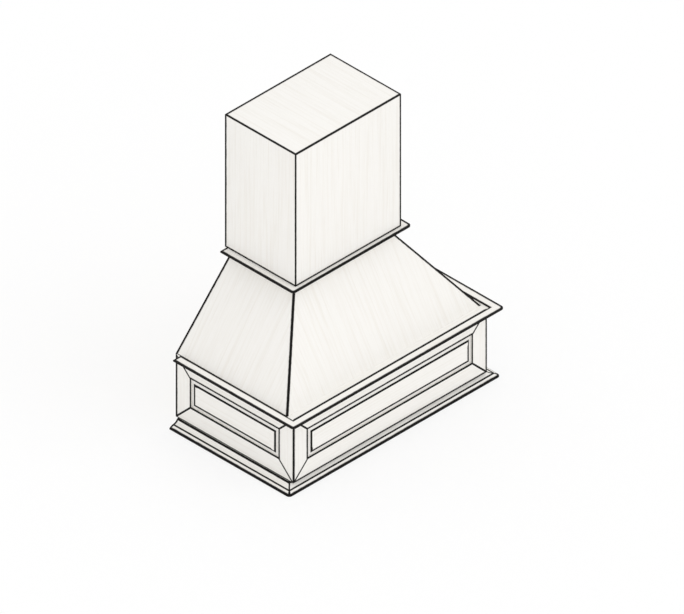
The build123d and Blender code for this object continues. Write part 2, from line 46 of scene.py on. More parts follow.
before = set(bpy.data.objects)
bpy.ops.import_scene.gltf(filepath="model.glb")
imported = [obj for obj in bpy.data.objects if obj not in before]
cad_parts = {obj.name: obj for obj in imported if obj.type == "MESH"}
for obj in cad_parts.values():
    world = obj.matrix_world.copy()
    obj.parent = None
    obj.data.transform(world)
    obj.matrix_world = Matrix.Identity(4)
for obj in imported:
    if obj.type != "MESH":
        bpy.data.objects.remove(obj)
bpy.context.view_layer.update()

IMAGE_WIDTH, IMAGE_HEIGHT = 684, 614
CORNER_PIXEL = 293.25, 483.65    # where the apron's lower front left corner stands in the picture
MM = 0.001
RIM = 12 * MM                    # distances to an arris are kept up to this
SLIVER = 0.01 * MM               # a moulding's edge that has less to round stays square
ONE_POINT = 1e-7                 # points nearer to each other than this are one
TINY = 1e-9                      # keeps divisions from running into nothing
EASE_STEPS = 5                   # points round each eased corner
EASE_SHARE = 0.45                # most of an edge that the easing of one corner takes
ARC_STEPS = 13                   # points along each curve of a moulding
TURN_STEPS = 9                   # stations round half a moulding's plan corner
SHARP_ANGLE = math.radians(32)   # faces that meet more sharply keep a crease
UPRIGHT = 0.9                    # a unit vector that rises more is upright
OUTSIDE, INSIDE, EDGE = 0, 1, 2  # material slots of a piece
HANDS = {"left": -1, "right": 1}
BOARD_SHIFT = 0.37, 0.23         # how far the wood's figure moves on from piece to piece
GLAZE_WANDER = 0.6 * MM          # how far the glaze's edge strays either way
MITRE_LINE = 0.6 * MM            # this much of the glaze's width is missing at a mitre
COLOUR_A, COLOUR_B = 6, 7        # colour inputs of a Mix node
SMOOTH = {"interpolation_type": "SMOOTHSTEP"}

# How wide the glaze is beside an edge, in glaze widths. Corners and lower edges are wiped less
# than openings and steps, and an edge that shows from one side only keeps a wider line.
NONE, SLIGHT, FINE, PLAIN, WIDE, HEAVY, FULL = 0, 0.6, 1.0, 1.3, 1.7, 2.1, 2.5


# ---- settings
def linear(code):
    """sRGB hex code to linear red, green and blue."""
    c = np.array([int(code[i:i + 2], 16) for i in (1, 3, 5)]) / 255
    return np.where(c <= 0.04045, c / 12.92, ((c + 0.055) / 1.055) ** 2.4).tolist()


def scalar(name, description, default, **kind):
    """A plain number, or one of the given kind."""
    return bpy.props.FloatProperty(name=name, description=description, default=default, **kind)


def length(name, description, default):
    """A size, with its default in mm."""
    return scalar(name, description, default * MM, min=0.0, unit="LENGTH", subtype="DISTANCE",
                  precision=4)


def colour(name, description, code):
    """A colour, given as sRGB hex code."""
    return bpy.props.FloatVectorProperty(
        name=name, description=description, default=linear(code), size=3, min=0.0, max=1.0,
        subtype="COLOR")


class HoodSizes(bpy.types.PropertyGroup):
    """Sizes of the pieces that are modelled here; they match the CAD pieces they stand for."""
    member_width: length("Member width", "Face width of rails and stiles", 64)
    frame_wall: length("Frame thickness", "Thickness of rails and stiles", 19)
    groove_front: length("Groove setback", "Face of a member to its panel groove", 6.5)
    groove_width: length("Groove width", "Width of the panel groove", 6)
    groove_depth: length("Groove depth", "Depth of the panel groove", 9)
    bevel_width: length("Bevel width", "Frame edge to the raised field", 15.5)
    field_step: length("Field step", "Little step where the bevel meets the field", 1.2)
    panel_play: length("Panel play", "Room round the panel's tongue", 0.2)
    panel_float: length("Panel float", "Tongue edge to the groove's bottom", 1.5)
    arris: length("Arris", "How far sanding has eased the outer corners", 1.1)
    fine_arris: length("Fine arris", "The same on mouldings and panel steps", 0.5)
    taper_setback: length("Taper setback", "Taper's foot behind the apron's face", 26.5)
    neck_inset_side: length("Neck inset, side", "Taper inside the chimney's sides", 34)
    neck_inset_front: length("Neck inset, front", "Taper inside the chimney's front", 37.5)
    neck_inset_back: length("Neck inset, back", "Taper inside the chimney's back", 12)
    board_wall: length("Board thickness", "Thickness of the taper's and chimney's boards", 15)
    corner_round: length("Trim corner radius", "Rounding of the mouldings' plan corners", 12)
    glaze_width: length("Glaze width", "Charcoal glaze left beside a fine edge", 3.0)


class HoodColours(bpy.types.PropertyGroup):
    """Colours of the finishes."""
    maple: colour("Pickled maple", "White-pickled face of the maple", "#F7F5F1")
    maple_grain: colour("Maple grain", "Grain showing through the pickling", "#E8E3DA")
    # this colour is also used for the faint painted shade beside glazed edges and creases
    glaze: colour("Glaze", "Charcoal glaze in creases and on arrises", "#0E0D0C")
    raw_maple: colour("Raw maple", "Unfinished maple inside the frames", "#E4D3B4")
    raw_maple_dark: colour("Raw maple grain", "Tan streaks of raw maple", "#CDB58E")
    birch: colour("Birch veneer", "Raw face of the plywood", "#E3CFA9")
    birch_dark: colour("Birch grain", "Darker waves of the plywood's face", "#CDB387")
    ply_core: colour("Ply core", "Cross plies in the plywood's edge", "#A98759")
    poplar: colour("Poplar", "Raw sawn poplar", "#E0D3AE")
    poplar_dark: colour("Poplar grain", "Greenish streaks of poplar", "#C6B88C")
    beech: colour("Beech", "Keys and splines", "#D9AE83")
    beech_dark: colour("Beech fleck", "Ray flecks of beech", "#B98558")
    zinc: colour("Zinc", "Zinc-plated screws", "#C9C8C2")


class HoodStage(bpy.types.PropertyGroup):
    """Camera, floor and light."""
    azimuth: scalar("Azimuth", "Camera's turn round the hood; 0 looks at the wall",
                    math.radians(-45.1), subtype="ANGLE")
    elevation: scalar("Elevation", "Camera's height angle", math.radians(35), subtype="ANGLE")
    view_width: length("View width", "Width of the parallel view", 2087.5)
    distance: length("Distance", "Camera's distance; a parallel view doesn't change with it", 6000)
    even: scalar("Even light", "Strength of the even studio light", 0.98, min=0.0)
    key: scalar("Key light", "Strength of the soft key light", 0.30, min=0.0)
    key_spread: scalar("Key spread", "Width of the soft key light, as an angle",
                       math.radians(40), subtype="ANGLE")
    key_from: bpy.props.FloatVectorProperty(
        name="Key direction", description="Where the key light comes from",
        default=(0.35, -0.62, 0.70), size=3, subtype="DIRECTION")
    floor_reach: length("Floor reach", "Half the floor's width", 20000)
    floor_glow: scalar("Floor whiteness", "How much of the floor the camera sees as backdrop",
                       0.70, min=0.0, max=1.0, subtype="FACTOR")
    floor: colour("Floor", "Matt floor under the light", "#FAFAFA")
    backdrop: colour("Backdrop", "Floor and backdrop as the camera sees them", "#FFFFFF")


# ---- places, from the CAD
def low(node):
    """Lowest corner of a CAD node's box."""
    return np.array(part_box(node)[0])


def high(node):
    """Highest corner of a CAD node's box."""
    return np.array(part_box(node)[1])


SIDE, APRON_FRONT = high("right_bottom_rail")[0], low("front_bottom_rail")[1]
WALL = high("mounting_rail")[1]
APRON_BOTTOM, APRON_TOP = low("front_bottom_rail")[2], high("front_top_rail")[2]
DECK_TOP = high("deck")[2]
COLLAR_BOTTOM, COLLAR_TOP = low("collar")[2], high("collar")[2]
CHIMNEY_TOP = high("chimney_top")[2]
CHIMNEY_SIDE, CHIMNEY_FRONT = high("chimney_front")[0], low("chimney_front")[1]
CHIMNEY_BACK = high("chimney_left")[1]
RIGHT, TO_WALL, UP = np.eye(3)


def taper(z):
    """Half width, front and back of the taper's outer faces at one level."""
    sizes = bpy.context.scene.hood_sizes
    share = (z - DECK_TOP) / (COLLAR_TOP - DECK_TOP)
    foot = np.array((SIDE, APRON_FRONT + sizes.taper_setback, WALL))
    neck = np.array((CHIMNEY_SIDE - sizes.neck_inset_side, CHIMNEY_FRONT + sizes.neck_inset_front,
                     CHIMNEY_BACK - sizes.neck_inset_back))
    return foot + share * (neck - foot)


# ---- surfaces and pieces
def eased_profile(points, easing, glazed):
    """Closed profile with eased corners.

    Each corner V with neighbours A and B becomes the quadratic curve
    (1-t)^2 P + 2t(1-t) V + t^2 Q, where P and Q lie the easing away from V towards A and B, at
    most EASE_SHARE of the way. Flats get a point RIM away from each end. Returns the points and,
    for each, its distance round the profile to the nearest glazed corner, divided by how wide
    that corner's glaze is, in glaze widths (0 is none). glazed has the widths before and after
    each corner.
    """
    v = np.asarray(points, float)
    back, on = np.roll(v, 1, 0) - v, np.roll(v, -1, 0) - v
    back_length = np.linalg.norm(back, axis=1, keepdims=True)
    on_length = np.linalg.norm(on, axis=1, keepdims=True)
    shorter = np.minimum(back_length, on_length)
    reach = np.minimum(np.array(easing)[:, None], EASE_SHARE * shorter)
    p, q = v + back / back_length * reach, v + on / on_length * reach
    t = np.linspace(0, 1, EASE_STEPS)[None, :, None]
    corner = (1 - t) ** 2 * p[:, None] + 2 * t * (1 - t) * v[:, None] + t ** 2 * q[:, None]
    flat = np.roll(p, -1, 0) - q
    flat_length = np.maximum(np.linalg.norm(flat, axis=1, keepdims=True), TINY)
    near = np.minimum(RIM, flat_length / 2) / flat_length
    inner = np.stack([q + flat * near, q + flat * (1 - near)], axis=1)
    loop = np.concatenate([corner, inner], axis=1).reshape(-1, 2)
    step = np.linalg.norm(np.roll(loop, -1, 0) - loop, axis=1)
    total, along = step.sum(), np.cumsum(step) - step
    corners = np.arange(len(v)) * (EASE_STEPS + 2) + EASE_STEPS // 2
    apart = (along[:, None] - along[None, corners] + total / 2) % total - total / 2
    widths = np.where(apart < 0, *np.array(glazed).T)
    rim = np.where(widths > 0, np.abs(apart) / np.maximum(widths, TINY), RIM).min(1)
    keep = step > ONE_POINT
    return loop[keep], np.minimum(rim, RIM)[keep]


class CarriedProfile:
    """Closed surface from a closed profile carried through stations, capped at both ends.

    Face (i, j) joins points j and j + 1 of stations i and i + 1. The sum of a . (b x c) over
    the faces' triangles is six times the volume; where it comes out negative, all faces turn.
    """

    def __init__(self, rings, rim_round, rim_along, grain, slots, cap_slots,
                 cross=None, depth=None):
        """rings: stations x points x 3. rim_round and rim_along are distances to glazed edges.
        Grain runs along the given axis; its second coordinate is cross, or else the distance
        round the profile, and on the caps it is depth."""
        m, n = rings.shape[:2]
        i, j = np.mgrid[:m - 1, :n]
        station = np.stack([i, i, i + 1, i + 1], -1)
        onward = np.stack([j, j + 1, j + 1, j], -1)
        column = onward % n
        points = rings.reshape(-1, 3)
        quads = (station * n + column).reshape(-1, 4)
        caps = np.stack([np.arange(n)[::-1], (m - 1) * n + np.arange(n)])
        if cross is None:
            step = np.linalg.norm(np.roll(rings, -1, 1) - rings, axis=2)
            around = np.concatenate([np.zeros((m, 1)), np.cumsum(step, 1)], 1)
        else:
            around = np.concatenate([cross, cross[:, :1]], 1)
        across = np.broadcast_to(rim_round, (m, n))
        down = np.broadcast_to(np.asarray(rim_along, float).reshape(m, -1), (m, n))
        level = np.cross(grain, UP) if abs(grain @ UP) < UPRIGHT else RIGHT + TO_WALL
        deep = points @ (UP + grain) if depth is None else depth.ravel()
        grain_uv = np.stack([(rings @ grain)[station, column], around[station, onward]], -1)
        rim = np.stack([across[station, column], down[station, column]], -1)
        cap_uv = np.stack([points[caps] @ level, deep[caps]], -1)
        volume = sum(np.sum(np.cross(p[:, :1], p[:, 1:-1]) * p[:, 2:])
                     for p in (points[quads], points[caps]))
        turn = 1 if volume > 0 else -1

        def listed(side_values, cap_values):
            width = side_values.shape[-1]
            return np.concatenate([side_values.reshape(-1, 4, width)[:, ::turn].reshape(-1, width),
                                   cap_values.reshape(2, n, width)[:, ::turn].reshape(-1, width)])

        self.points = points
        self.corners = listed(quads[..., None], caps[..., None]).ravel()
        self.grain = listed(grain_uv, cap_uv)
        self.rim = listed(rim, np.full((2, n, 2), RIM))
        self.sizes = np.repeat([4, n], [len(quads), 2])
        self.slots = np.concatenate([np.broadcast_to(slots, (m - 1, n)).ravel(), cap_slots])


def add_object(name, data):
    """A new object in the scene."""
    added = bpy.data.objects.new(name, data)
    bpy.context.scene.collection.objects.link(added)
    return added


def make_piece(node, surfaces, materials, number=0, stuff="maple"):
    """One object from its surfaces, standing for a CAD node and riding on the hood.

    The number moves the wood's figure along, so that no two pieces come from the same board.
    """
    name = f"{stuff}_{node}"
    starts = np.cumsum([0] + [len(s.points) for s in surfaces[:-1]])
    corners = np.concatenate([s.corners + start for s, start in zip(surfaces, starts)])
    points, sizes, slots, grain, rim = (
        np.concatenate([getattr(s, key) for s in surfaces])
        for key in ("points", "sizes", "slots", "grain", "rim"))
    mesh = bpy.data.meshes.new(name)
    mesh.vertices.add(len(points))
    mesh.vertices.foreach_set("co", points.astype(np.float32).ravel())
    mesh.loops.add(len(corners))
    mesh.loops.foreach_set("vertex_index", corners.astype(np.int32))
    mesh.polygons.add(len(sizes))
    mesh.polygons.foreach_set("loop_start", (np.cumsum(sizes) - sizes).astype(np.int32))
    mesh.polygons.foreach_set("material_index", slots.astype(np.int32))
    mesh.polygons.foreach_set("use_smooth", np.ones(len(sizes), bool))
    mesh.update(calc_edges=True)
    for title, values in (("Grain", grain + np.array(BOARD_SHIFT) * number), ("Rim", rim)):
        layer = mesh.uv_layers.new(name=title)
        layer.uv.foreach_set("vector", values.astype(np.float32).ravel())
    mesh.set_sharp_from_angle(angle=SHARP_ANGLE)
    for material in materials:
        mesh.materials.append(material)
    piece = add_object(name, mesh)
    piece.modifiers.new("Weighted normals", "WEIGHTED_NORMAL").keep_sharp = True
    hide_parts(node)
    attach(piece, "root")
    return piece


# ---- finishes
def add_node(tree, kind, inputs=None, **settings):
    """Add a shader node. Settings are its own properties; inputs are values, or sockets or nodes
    to link, a node by its first output in use. Bound to one tree, it is called put."""
    node = tree.nodes.new("ShaderNode" + kind)
    for key, value in settings.items():
        setattr(node, key, value)
    for key, value in (inputs or {}).items():
        if isinstance(value, bpy.types.Node):
            value = next(output for output in value.outputs if output.enabled)
        if isinstance(value, bpy.types.NodeSocket):
            tree.links.new(value, node.inputs[key])
        else:
            node.inputs[key].default_value = value
    return node


def finish(name, describe):
    """The named material; describe(put) gives its shader the first time it is asked for."""
    material = bpy.data.materials.get(name)
    if material is None:
        material = bpy.data.materials.new(name)
        material.use_nodes = True
        material.node_tree.nodes.clear()
        put = partial(add_node, material.node_tree)
        put("OutputMaterial", {"Surface": describe(put)})
    return material


def paint(name):
    """One of the hood's colours, with alpha."""
    return (*getattr(bpy.context.scene.hood_colours, name), 1.0)


def figure(put, board, *layers):
    """How much of the wood's figure shows, from 0 to 1, and the noise of the last layer.

    A layer is noise stretched along the grain: the size of its patches along, across and into the
    board, its settings, the two levels between which it fades in, and how much it then adds.
    """
    shown = None
    for size, settings, faint, clear, most in layers:
        place = put("Mapping", {"Vector": board, "Scale": [1 / extent for extent in size]})
        noise = put("TexNoise", {"Vector": place, "Scale": 1, **settings})
        layer = put("MapRange", {
            "Value": noise, "From Min": faint, "From Max": clear, "To Max": most}, **SMOOTH)
        shown = layer if shown is None else put("Math", {0: shown, 1: layer}, operation="ADD",
                                                use_clamp=True)
    return shown, noise


def pickled_maple():
    """Hard maple, planed, pickled with white stain, wiped with charcoal glaze, in satin lacquer.

    To the eye: almost white with faint long grain, and dark hand-wiped lines at edges and joints.
    The line covers what lies nearer to a glazed edge than about one glaze width, give or take the
    hand's wander; a faint darkening, part glaze left in the wood and part painted shade as in a
    crease, reaches three times as far.
    """
    def describe(put):
        width = bpy.context.scene.hood_sizes.glaze_width
        board = put("UVMap", uv_map="Grain")
        bands = (350 * MM, 9 * MM, 1), {"Detail": 3, "Roughness": 0.55, "Distortion": 0.6}
        # the fibres are coarser than real ones, so that they show
        fibres = (60 * MM, 1.6 * MM, 1), {"Detail": 4, "Roughness": 0.6}
        shown, fibre = figure(put, board, (*bands, 0.42, 0.72, 0.34), (*fibres, 0.45, 0.75, 0.26))
        wood = put("Mix", {
            0: shown, COLOUR_A: paint("maple"), COLOUR_B: paint("maple_grain")}, data_type="RGBA")
        rim = put("SeparateXYZ", {"Vector": put("UVMap", uv_map="Rim")}).outputs
        nearest = put("Math", {0: rim[0], 1: rim[1]}, operation="MINIMUM")
        # the glaze's edge strays every 18 mm along and 6 mm across
        hand = put("TexNoise", {
            "Vector": put("Mapping", {"Vector": board, "Scale": (1 / (18 * MM), 1 / (6 * MM), 1)}),
            "Scale": 1, "Detail": 2})
        stray = put("MapRange", {"Value": hand, "To Min": -GLAZE_WANDER, "To Max": GLAZE_WANDER})
        edge = put("Math", {0: nearest, 1: stray}, operation="ADD")
        line = put("MapRange", {"Value": edge, "From Min": 0.75 * width, "From Max": 1.3 * width,
                                "To Min": 0.99, "To Max": 0}, **SMOOTH)
        # painted shade: the glaze colour faintly darkens the wood out to three glaze widths from
        # every glazed edge, like shade in a crease; part of it stands for glaze left in the wood
        glaze_haze_and_painted_shade = put("MapRange", {"Value": nearest, "From Max": 3 * width,
                                "To Min": 0.06, "To Max": 0}, **SMOOTH)
        # glaze line plus the faint painted shade beside it
        glaze_and_painted_shade = put("Math", {0: line, 1: glaze_haze_and_painted_shade}, operation="ADD", use_clamp=True)
        tone = put("Mix", {0: glaze_and_painted_shade, COLOUR_A: wood, COLOUR_B: paint("glaze")}, data_type="RGBA")
        rough = put("MapRange", {"Value": fibre, "From Min": 0.3, "From Max": 0.8,
                                 "To Min": 0.42, "To Max": 0.54})
        bump = put("Bump", {"Height": fibre, "Strength": 0.12, "Distance": 0.25 * MM})
        return put("BsdfPrincipled", {
            "Base Color": tone, "Roughness": rough, "Specular IOR Level": 0.1, "Normal": bump})

    return finish("pickled_maple_charcoal_glaze", describe)


def raw_wood(name, pale, dark, ring, streak, rough, grain=None, pickled=None):
    """Unfinished wood: rings, stretched 40 times along the grain, and fibres 0.9 by 30 mm.

    ring is the rings' width in metres and streak how strongly they show. The grain follows the
    piece's own Grain map, or one direction of Object coordinates. pickled = (axis, sign, distance):
    what lies farther out that way, or with sign 0 either way, is pickled like the maple beside it.
    """
    def describe(put):
        place = put("TexCoord").outputs["Object"]
        if grain is None:
            board = put("UVMap", uv_map="Grain")
        else:
            turn = Vector(grain).rotation_difference(Vector(RIGHT)).to_euler()
            board = put("Mapping", {"Vector": place, "Rotation": turn})
        rings = (40 * ring, ring, ring), {"Detail": 4, "Distortion": 0.6}
        fibres = (30 * MM, 0.9 * MM, 0.9 * MM), {"Detail": 3}
        shown, fibre = figure(put, board, (*rings, 0.38, 0.70, streak), (*fibres, 0.5, 0.8, 0.3))
        tone = put("Mix", {0: shown, COLOUR_A: paint(pale), COLOUR_B: paint(dark)},
                   data_type="RGBA")
        if pickled:
            axis, sign, distance = pickled
            out = put("SeparateXYZ", {"Vector": place}).outputs[axis]
            if sign:
                way = put("Math", {0: out, 1: float(sign)}, operation="MULTIPLY")
            else:
                way = put("Math", {0: out}, operation="ABSOLUTE")
            white = put("Math", {0: way, 1: distance}, operation="GREATER_THAN")
            tone = put("Mix", {0: white, COLOUR_A: tone, COLOUR_B: paint("maple")},
                       data_type="RGBA")
        bump = put("Bump", {"Height": fibre, "Strength": 0.25, "Distance": 0.3 * MM})
        return put("BsdfPrincipled", {"Base Color": tone, "Roughness": rough, "Normal": bump})

    return finish(name, describe)


def raw_maple():
    """Planed hard maple left raw inside the frames: cream, with faint tan streaks."""
    return raw_wood("raw_planed_maple", "raw_maple", "raw_maple_dark", 9 * MM, 0.5, 0.6)


def birch_plywood(part="face", **place):
    """Rotary-cut birch veneer, sanded and left raw: pale straw with wide soft waves."""
    return raw_wood(f"birch_plywood_{part}", "birch", "birch_dark", 24 * MM, 0.6, 0.62, **place)


def sawn_poplar(part, grain):
    """Sawn yellow poplar: pale, a little green, with clear streaks 7 mm apart."""
    return raw_wood(f"sawn_poplar_{part}", "poplar", "poplar_dark", 7 * MM, 0.6, 0.7, grain)


def planed_beech():
    """Planed beech of the keys and splines: pinkish brown with close dark flecks."""
    return raw_wood("planed_beech", "beech", "beech_dark", 3 * MM, 0.6, 0.5, UP)


def plywood_edge():
    """Sawn edge of birch plywood: plies 1.4 mm thick, pale and brown by turns."""
    def describe(put):
        board = put("SeparateXYZ", {"Vector": put("UVMap", uv_map="Grain")})
        angle = put("Math", {0: board.outputs[1], 1: math.pi / (1.4 * MM)}, operation="MULTIPLY")
        wave = put("Math", {0: angle}, operation="SINE")
        ply = put("MapRange", {"Value": wave, "From Min": -0.3, "From Max": 0.3})
        tone = put("Mix", {0: ply, COLOUR_A: paint("birch"), COLOUR_B: paint("ply_core")},
                   data_type="RGBA")
        return put("BsdfPrincipled", {"Base Color": tone, "Roughness": 0.75})

    return finish("birch_plywood_edge", describe)


def zinc_plate():
    """Zinc-plated steel, tumbled: grey metal whose satin shine is blotched every millimetre."""
    def describe(put):
        blotch = put("TexNoise", {"Vector": put("TexCoord").outputs["Object"], "Scale": 1 / MM,
                                  "Detail": 2})
        rough = put("MapRange", {"Value": blotch, "From Min": 0.3, "From Max": 0.7,
                                 "To Min": 0.28, "To Max": 0.42})
        return put("BsdfPrincipled", {
            "Base Color": paint("zinc"), "Metallic": 1.0, "Roughness": rough})

    return finish("zinc_plated_steel", describe)


# ---- apron frames and panels
def apron_faces():
    """Of each face, seen from outside: its lower left corner, the way along, the way out, its
    length, and whether its left and right end turn a corner of the hood."""
    front_left, back_left, front_right = (
        np.array((x, y, APRON_BOTTOM))
        for x, y in ((-SIDE, APRON_FRONT), (-SIDE, WALL), (SIDE, APRON_FRONT)))
    depth = WALL - APRON_FRONT
    return {"front": (front_left, RIGHT, -TO_WALL, 2 * SIDE, (True, True)),
            "left": (back_left, -TO_WALL, -RIGHT, depth, (False, True)),
            "right": (front_right, TO_WALL, RIGHT, depth, (True, False))}


def frame_member(origin, way, across, out, run, turns, mitred_edge, glaze):
    """Rail or stile: its cross-section (a across the face, d into the thickness) carried along.

    It starts at max(a, d * c) and ends at run - max(a, d * c): a is the face mitre, and c is 1
    at an end that turns a corner of the hood. glaze gives the widths at the outer corner, on the
    edge and on the face, and at the opening. Of the mitres, only the face's are glazed.
    """
    sizes = bpy.context.scene.hood_sizes
    w, t, groove = sizes.member_width, sizes.frame_wall, sizes.groove_front
    groove_back, groove_floor = groove + sizes.groove_width, w - sizes.groove_depth
    points = [(0, 0), (w, 0), (w, groove), (groove_floor, groove), (groove_floor, groove_back),
              (w, groove_back), (w, t), (t * mitred_edge, t)]
    unseen, hair = 0.3 * MM, 0.1 * MM
    easing = (sizes.arris, sizes.fine_arris, unseen, 0, 0, unseen, sizes.fine_arris, unseen)
    edge, face, opening = glaze
    widths = ((edge, face), (opening, opening), *[(NONE, NONE)] * 6)
    loop, rim = eased_profile(points, easing, widths)
    a, d = loop.T
    first, last = (np.maximum(a, d * turn) for turn in turns)
    clear = RIM * math.sqrt(2)
    x = np.stack([first, first + clear, run - last - clear, run - last])
    rings = origin + x[..., None] * way + a[:, None] * across - d[:, None] * out
    middle_a, middle_d = (a + np.roll(a, -1)) / 2, (d + np.roll(d, -1)) / 2
    outer_edge = (middle_a < sizes.arris / 2) & (middle_d < t - hair)
    slots = np.where((middle_d > groove + hair) & ~outer_edge, INSIDE, OUTSIDE)
    on_face = (d < 1.5 * sizes.arris) & (a > hair / 2)
    mitre, away = np.where(on_face, 0, RIM), np.full(len(a), RIM)
    return CarriedProfile(rings, rim, [mitre, away, away, mitre], way, slots, (INSIDE, INSIDE))


class HOOD_OT_frames(bpy.types.Operator):
    """Twelve grooved rails and stiles, mitred on the face and round the hood's corners"""
    bl_idname = "hood.frames"
    bl_label = "Apron frames"

    def execute(self, context):
        height = APRON_TOP - APRON_BOTTOM
        number = 0
        for name, (origin, way, out, run, turns) in apron_faces().items():
            # a corner's line lies mostly on the front, not on both faces that meet there
            corner, bottom, crease = SLIGHT, PLAIN, NONE
            if name == "front":
                corner, bottom, crease = HEAVY, HEAVY, PLAIN
            # the line is narrower where the stile's inner edge shows beside it
            openings = (FINE, HEAVY) if name == "left" else (HEAVY, FINE)
            left, right = ((*((corner, corner) if turn else (SLIGHT, FULL)), opening)
                           for turn, opening in zip(turns, openings))
            top, far = origin + height * UP, origin + run * way
            members = {
                "bottom_rail": (origin, way, UP, out, run, turns, False, (bottom, bottom, PLAIN)),
                "top_rail": (top, way, -UP, out, run, turns, False, (crease, NONE, HEAVY)),
                "left_stile": (origin, UP, way, out, height, (0, 0), turns[0], left),
                "right_stile": (far, UP, -way, out, height, (0, 0), turns[1], right),
            }
            for part, values in members.items():
                number += 1
                make_piece(f"{name}_{part}", [frame_member(*values)],
                           [pickled_maple(), raw_maple()], number)
        return {"FINISHED"}


def raised_panel(origin, way, out, run, height, glaze):
    """Raised panel as nested rectangles, each at its own inset and depth: back, tongue, bevel,
    step and field. glaze gives its widths on the field, at the bottom, right, top and left."""
    sizes = bpy.context.scene.hood_sizes
    w, play, step = sizes.member_width, sizes.panel_play, sizes.field_step
    tongue = sizes.groove_depth - sizes.panel_float
    front, back = sizes.groove_front + play, sizes.groove_front + sizes.groove_width - play
    bevel, ease = sizes.bevel_width, sizes.fine_arris
    slope = (front - step) / (bevel - play)
    knee = 0.4 * RIM
    rows = (  # inset, depth, distance to the glazed edge of the field
        (bevel + 2 * RIM, back, RIM), (-tongue, back, RIM), (-tongue, front, RIM),
        (play, front, RIM), (play + knee, front - slope * knee, RIM),
        (bevel - knee, step + slope * knee, knee), (bevel - ease, step + slope * ease, ease / 2),
        (bevel, step, 0), (bevel, ease, 0), (bevel + 0.3 * ease, 0.3 * ease, 0),
        (bevel + ease, 0, ease / 2), (bevel + RIM, 0, RIM), (bevel + 2 * RIM, 0, RIM))
    inset, depth, rim = np.array(rows).T
    rim = np.tile(rim[:, None], 12)      # three points to a side
    rim[-3:-1] /= np.repeat(glaze, 3)    # the field's two rows
    half = np.array((run / 2 - w, height / 2 - w))
    quarter = np.array([(-1, -1), (1, -1), (1, 1), (-1, 1)])
    corner = (half - inset[:, None, None]) * quarter
    following = np.roll(corner, -1, 1)
    side = (following - corner) / np.linalg.norm(following - corner, axis=2, keepdims=True)
    flat = np.stack([corner, corner + side * RIM, following - side * RIM], 2)
    flat = flat.reshape(len(rows), -1, 2)
    centre = origin + way * run / 2 + UP * height / 2
    rings = centre + flat[..., :1] * way + flat[..., 1:] * UP - depth[:, None, None] * out
    slots = np.where(np.arange(len(rows) - 1) < 2, INSIDE, OUTSIDE)[:, None]
    level = rings @ (UP + out)
    return CarriedProfile(rings, RIM, rim, way, slots, (INSIDE, OUTSIDE), level, level)


class HOOD_OT_panels(bpy.types.Operator):
    """Three raised panels that float in the frames' grooves"""
    bl_idname = "hood.panels"
    bl_label = "Raised panels"

    def execute(self, context):
        for number, (name, (*face, _)) in enumerate(apron_faces().items(), 20):
            # wider where the step below the field doesn't show
            glaze = (WIDE, FINE, FINE, WIDE) if name == "left" else (WIDE, WIDE, FINE, FINE)
            panel = raised_panel(*face, APRON_TOP - APRON_BOTTOM, glaze)
            make_piece(f"{name}_panel", [panel], [pickled_maple(), raw_maple()],
                       number)
        return {"FINISHED"}


# ---- boards of the taper and chimney
def eased_edge(radius, mitred):
    """Way in from an eased edge and depth below the face, from the edge to the face.

    The edge is a quarter circle of angle f, or half of one where the edge is mitred:
    in = R - R sin f, depth = R - R cos f; on a mitre the way in is measured from its plane.
    """
    f = np.linspace(math.pi / (4 if mitred else 2), 0, EASE_STEPS)
    depth = radius - radius * np.cos(f)
    return radius - radius * np.sin(f) - depth * mitred, depth


def eased_board(outer, inner, mitred, glazed, grain):
    """Board between four outer corners and four inner ones, given as [bottom, top][first, last].

    A point is the mean of the eight corners weighted by s across, t up and d inwards. Near its
    edges the outer face sinks by the larger of the two edges' easing. mitred and glazed are for
    the first, last, bottom and top edge.
    """
    radius = bpy.context.scene.hood_sizes.arris
    outer, inner = np.array(outer), np.array(inner)
    upward, sideways = outer[1] - outer[0], outer[0, 1] - outer[0, 0]
    tall = np.linalg.norm(upward, axis=1)
    thick = np.linalg.norm(inner[0, 0] - outer[0, 0])
    square = np.linalg.norm(np.cross(upward, sideways), axis=1) / tall / np.linalg.norm(sideways)
    edges = [eased_edge(radius, m) for m in mitred]
    top = tall.max()
    t = np.concatenate([edges[2][0], [RIM, top - RIM], top - edges[3][0][::-1]])[:, None] / top
    wide = np.linalg.norm(sideways) * (1 - t) + np.linalg.norm(outer[1, 1] - outer[1, 0]) * t
    first = np.append(edges[0][0], RIM / square[0]) / wide
    last = 1 - np.append(RIM / square[1], edges[1][0][::-1]) / wide
    one = np.ones_like(t)
    s = np.concatenate([first, last, one, 1 - RIM / wide, RIM / wide, 0 * one], 1)
    sunk_s = np.concatenate([edges[0][1], (0, 0), edges[1][1][::-1], np.full(4, thick)])
    sunk_t = np.concatenate([edges[2][1], (0, 0), edges[3][1][::-1]])
    depth = np.maximum(sunk_s[None, :], sunk_t[:, None])
    d, s, t = (depth / thick)[..., None], s[..., None], t[..., None]

    def between(corners):
        return ((corners[0, 0] * (1 - s) + corners[0, 1] * s) * (1 - t)
                + (corners[1, 0] * (1 - s) + corners[1, 1] * s) * t)

    rings = between(outer) * (1 - d) + between(inner) * d
    fall = np.append(np.linspace(0, radius / 2, EASE_STEPS), RIM)
    fades = [np.minimum(fall / g, RIM) if g else np.full(len(fall), RIM) for g in glazed]
    rim_round = np.concatenate([fades[0], fades[1][::-1], np.full(4, RIM)])
    rim_along = np.concatenate([fades[2], fades[3][::-1]])
    slots = [OUTSIDE] * (2 * len(fall) - 1) + [EDGE, INSIDE, INSIDE, INSIDE, EDGE]
    normal = np.cross(sideways, upward[0])
    across = np.cross(normal / np.linalg.norm(normal), grain)
    return CarriedProfile(rings, rim_round, rim_along, grain, slots, (EDGE, EDGE),
                          rings @ across + depth, depth)


def make_board(node, number, *values):
    """A board of maple-faced ply: maple outside, birch inside, its plies bare at the ends."""
    make_piece(node, [eased_board(*values)], [pickled_maple(), birch_plywood(), plywood_edge()],
               number)


